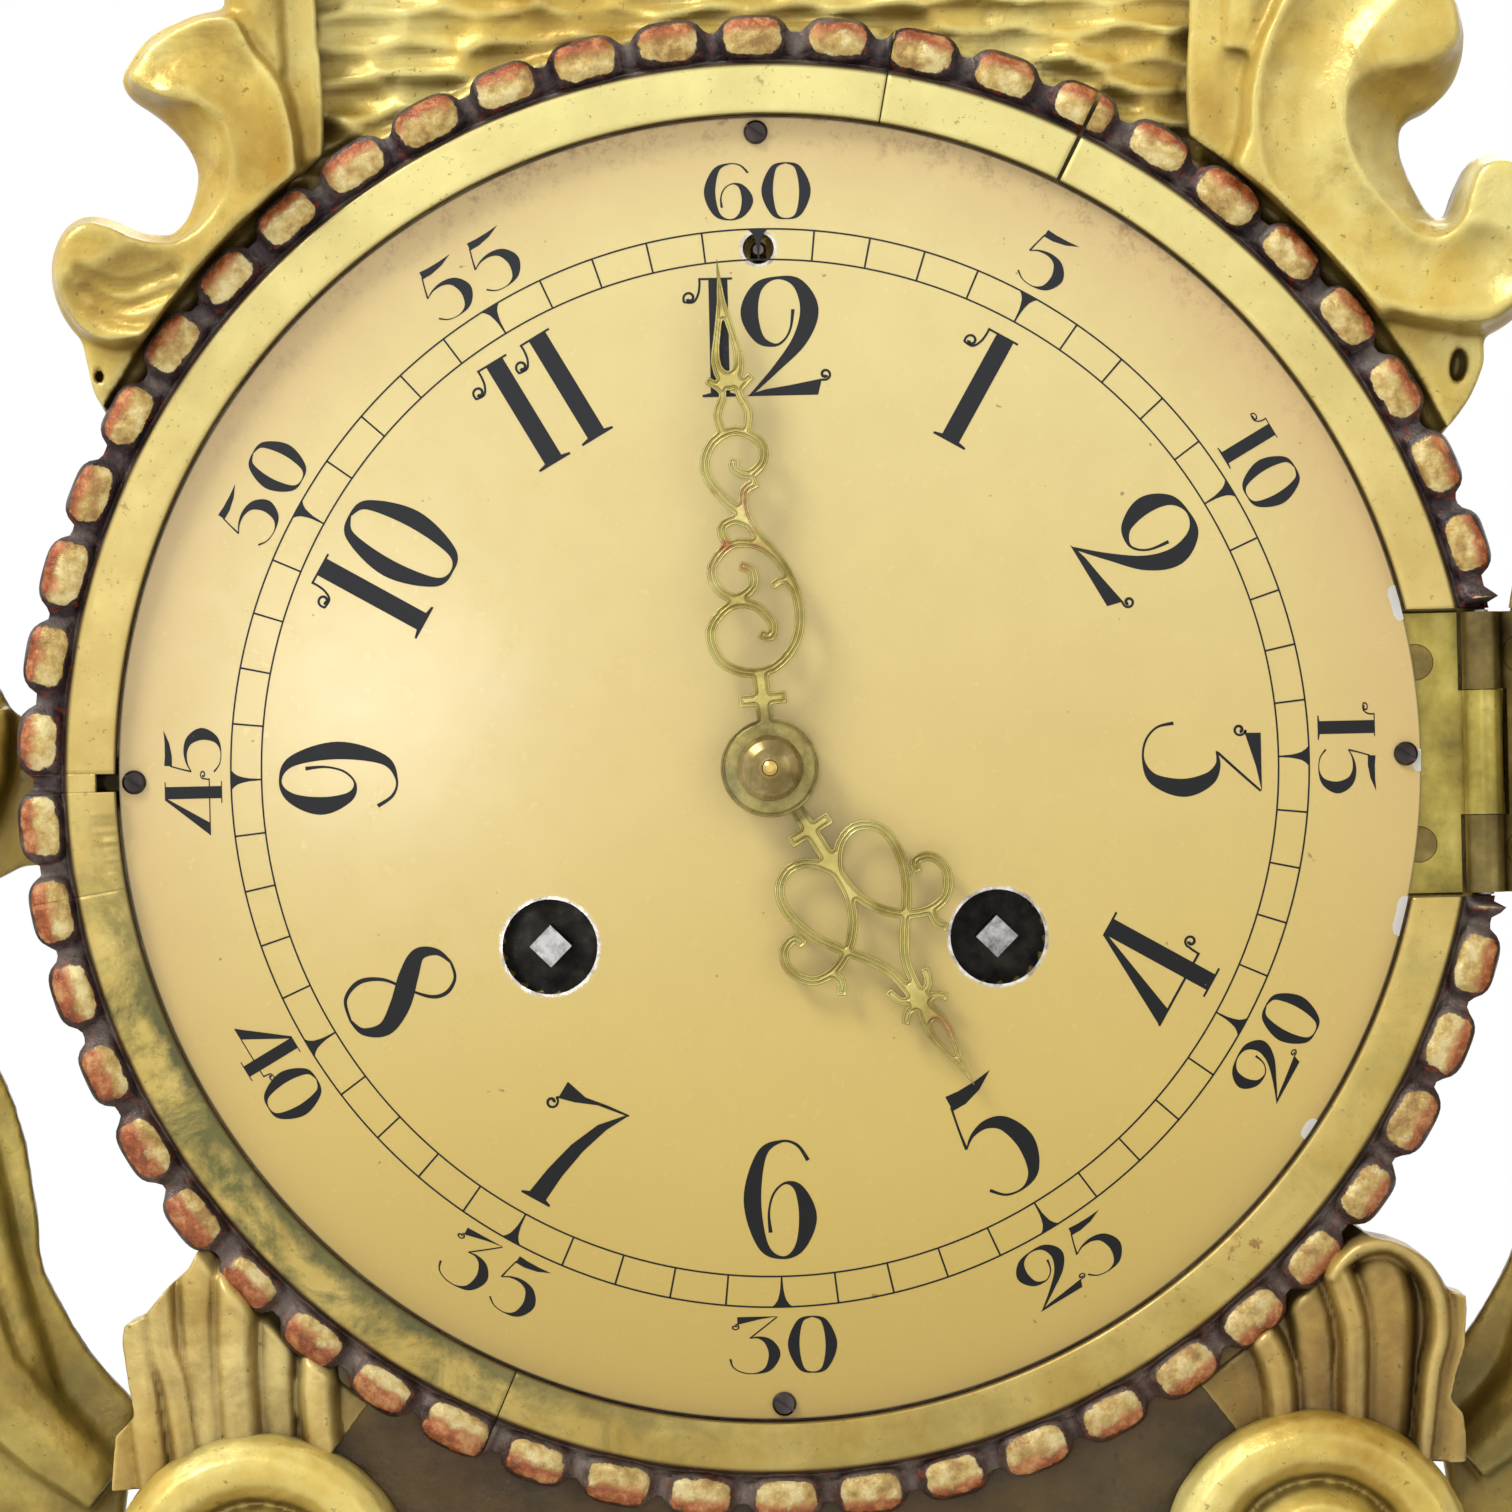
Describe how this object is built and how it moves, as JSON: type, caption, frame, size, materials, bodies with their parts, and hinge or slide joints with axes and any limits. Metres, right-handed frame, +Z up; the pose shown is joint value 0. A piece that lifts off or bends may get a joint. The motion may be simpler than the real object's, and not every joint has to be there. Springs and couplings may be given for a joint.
{
  "type": "wall clock",
  "caption": "Carved giltwood wall clock with a round painted dial, beaded ring, open glazed door on a side hinge, pierced brass hands and a spring-driven striking movement.",
  "frame": {"origin": "on the wall plane, straight behind the middle of the hands", "axes": "+X to the right of a person facing the dial, +Y back into the wall, +Z up"},
  "size_m": [0.4503, 0.241, 0.596],
  "materials": {
    "gilt": "worn gold leaf on carved wood",
    "wood": "old oiled wood",
    "dial_paint": "aged cream paint",
    "blued_steel": "blued",
    "old_brass": "aged",
    "bright_brass": "polished",
    "steel": "polished",
    "glass": "clear, domed"
  },
  "bodies": {
    "case": {"case_drum": "wood", "front_board": "gilt", "bead_ring": "gilt", "crest": "gilt", "left_scroll": "gilt", "right_scroll": "gilt", "left_side_leaf": "gilt", "right_side_leaf": "gilt", "left_shell_fan": "gilt", "right_shell_fan": "gilt", "left_volute": "gilt", "right_volute": "gilt", "bottom_pendant": "gilt", "back_cover": "old_brass", "case_screws": "blued_steel", "hanging_plate": "steel", "dial": "dial_paint", "dial_screws": "blued_steel", "hinge_case_leaf": "old_brass", "hinge_pin": "steel", "hinge_case_screws": "old_brass", "front_plate": "bright_brass", "back_plate": "bright_brass", "pillars": "bright_brass", "pillar_nuts": "steel", "fixing_straps": "bright_brass", "suspension_cock": "bright_brass", "gong": "blued_steel", "gong_block": "wood"},
    "door": {"door_frame": "gilt", "door_glass": "glass", "glass_retainer": "old_brass", "hinge_door_leaf": "old_brass", "hinge_door_screws": "old_brass", "door_catch": "old_brass"},
    "minute_arbor": {"centre_wheel": "bright_brass", "cannon_pinion": "steel", "minute_hand": "old_brass", "hand_nut": "old_brass"},
    "hour_pipe": {"hour_wheel": "bright_brass", "hour_hand": "old_brass"},
    "minute_wheel_body": {"minute_wheel": "bright_brass"},
    "going_barrel_body": {"going_barrel": "bright_brass"},
    "going_winder": {"going_winding_arbor": "steel"},
    "going_click_body": {"going_click": "steel"},
    "intermediate_body": {"intermediate_wheel": "bright_brass"},
    "third_body": {"third_wheel": "bright_brass"},
    "escape_body": {"escape_wheel": "bright_brass"},
    "anchor_body": {"pallet_anchor": "steel"},
    "pendulum": {"suspension_spring": "steel", "pendulum_rod": "steel", "pendulum_bob": "bright_brass"},
    "regulator_body": {"regulator_arbor": "steel"},
    "striking_barrel_body": {"striking_barrel": "bright_brass"},
    "striking_winder": {"striking_winding_arbor": "steel"},
    "striking_click_body": {"striking_click": "steel"},
    "pin_body": {"pin_wheel": "bright_brass"},
    "locking_body": {"locking_wheel": "bright_brass"},
    "fly_body": {"fly": "bright_brass"},
    "hammer_body": {"hammer": "bright_brass"}
  },
  "joints": [
    {"name": "door_swing", "type": "hinge", "parent": "case", "child": "door", "pos_m": [0.1095, -0.0877, 0], "axis": [0, 0, 1], "range_deg": [-135, 5]},
    {"name": "minute_turn", "type": "hinge", "parent": "case", "child": "minute_arbor", "pos_m": [0, 0, 0], "axis": [0, 1, 0], "continuous": true},
    {"name": "hour_turn", "type": "hinge", "parent": "case", "child": "hour_pipe", "pos_m": [0, 0, 0], "axis": [0, 1, 0], "continuous": true},
    {"name": "minute_wheel_turn", "type": "hinge", "parent": "case", "child": "minute_wheel_body", "pos_m": [0, 0, -0.012], "axis": [0, 1, 0], "continuous": true},
    {"name": "going_barrel_turn", "type": "hinge", "parent": "case", "child": "going_barrel_body", "pos_m": [0.0344, 0, -0.0267], "axis": [0, 1, 0], "continuous": true},
    {"name": "intermediate_turn", "type": "hinge", "parent": "case", "child": "intermediate_body", "pos_m": [0.02057, 0, -0.00076], "axis": [0, 1, 0], "continuous": true},
    {"name": "third_turn", "type": "hinge", "parent": "case", "child": "third_body", "pos_m": [-0.011, 0, 0.01563], "axis": [0, 1, 0], "continuous": true},
    {"name": "escape_turn", "type": "hinge", "parent": "case", "child": "escape_body", "pos_m": [0, 0, 0.02847], "axis": [0, 1, 0], "continuous": true},
    {"name": "going_winding", "type": "hinge", "parent": "case", "child": "going_winder", "pos_m": [0.0344, 0, -0.0267], "axis": [0, 1, 0], "continuous": true},
    {"name": "going_click_lift", "type": "hinge", "parent": "case", "child": "going_click_body", "pos_m": [0.0344, 0, -0.0132], "axis": [0, 1, 0], "range_deg": [0, 10]},
    {"name": "pendulum_swing", "type": "hinge", "parent": "case", "child": "pendulum", "pos_m": [0, 0, 0.07], "axis": [0, 1, 0], "range_deg": [-3, 3]},
    {"name": "anchor_swing", "type": "hinge", "parent": "case", "child": "anchor_body", "pos_m": [0, 0, 0.04347], "axis": [0, 1, 0], "range_deg": [-5.5, 5.5]},
    {"name": "regulator_turn", "type": "hinge", "parent": "case", "child": "regulator_body", "pos_m": [0, 0, 0.0798], "axis": [0, 1, 0], "range_deg": [-180, 180]},
    {"name": "pin_wheel_turn", "type": "hinge", "parent": "case", "child": "pin_body", "pos_m": [-0.0394, 0, 0.00166], "axis": [0, 1, 0], "continuous": true},
    {"name": "striking_barrel_turn", "type": "hinge", "parent": "case", "child": "striking_barrel_body", "pos_m": [-0.0344, 0, -0.0267], "axis": [0, 1, 0], "continuous": true},
    {"name": "locking_turn", "type": "hinge", "parent": "case", "child": "locking_body", "pos_m": [-0.0304, 0, 0.01725], "axis": [0, 1, 0], "continuous": true},
    {"name": "fly_turn", "type": "hinge", "parent": "case", "child": "fly_body", "pos_m": [-0.02607, 0, 0.03057], "axis": [0, 1, 0], "continuous": true},
    {"name": "striking_winding", "type": "hinge", "parent": "case", "child": "striking_winder", "pos_m": [-0.0344, 0, -0.0267], "axis": [0, 1, 0], "continuous": true},
    {"name": "striking_click_lift", "type": "hinge", "parent": "case", "child": "striking_click_body", "pos_m": [-0.0344, 0, -0.0132], "axis": [0, 1, 0], "range_deg": [0, 10]},
    {"name": "hammer_lift", "type": "hinge", "parent": "case", "child": "hammer_body", "pos_m": [-0.0534, 0, 0.01746], "axis": [0, 1, 0], "range_deg": [-10, 0]}
  ],
  "couplings": [
    {"joint": "hour_turn", "follows": "minute_turn", "ratio": 0.083333},
    {"joint": "minute_wheel_turn", "follows": "minute_turn", "ratio": -0.33333},
    {"joint": "intermediate_turn", "follows": "minute_turn", "ratio": -0.16667},
    {"joint": "going_barrel_turn", "follows": "minute_turn", "ratio": 0.027778},
    {"joint": "third_turn", "follows": "minute_turn", "ratio": -12},
    {"joint": "escape_turn", "follows": "minute_turn", "ratio": 140.57},
    {"joint": "anchor_swing", "follows": "pendulum_swing", "ratio": 1.6896},
    {"joint": "striking_barrel_turn", "follows": "pin_wheel_turn", "ratio": -0.14286},
    {"joint": "locking_turn", "follows": "pin_wheel_turn", "ratio": -9},
    {"joint": "fly_turn", "follows": "pin_wheel_turn", "ratio": 81}
  ]
}
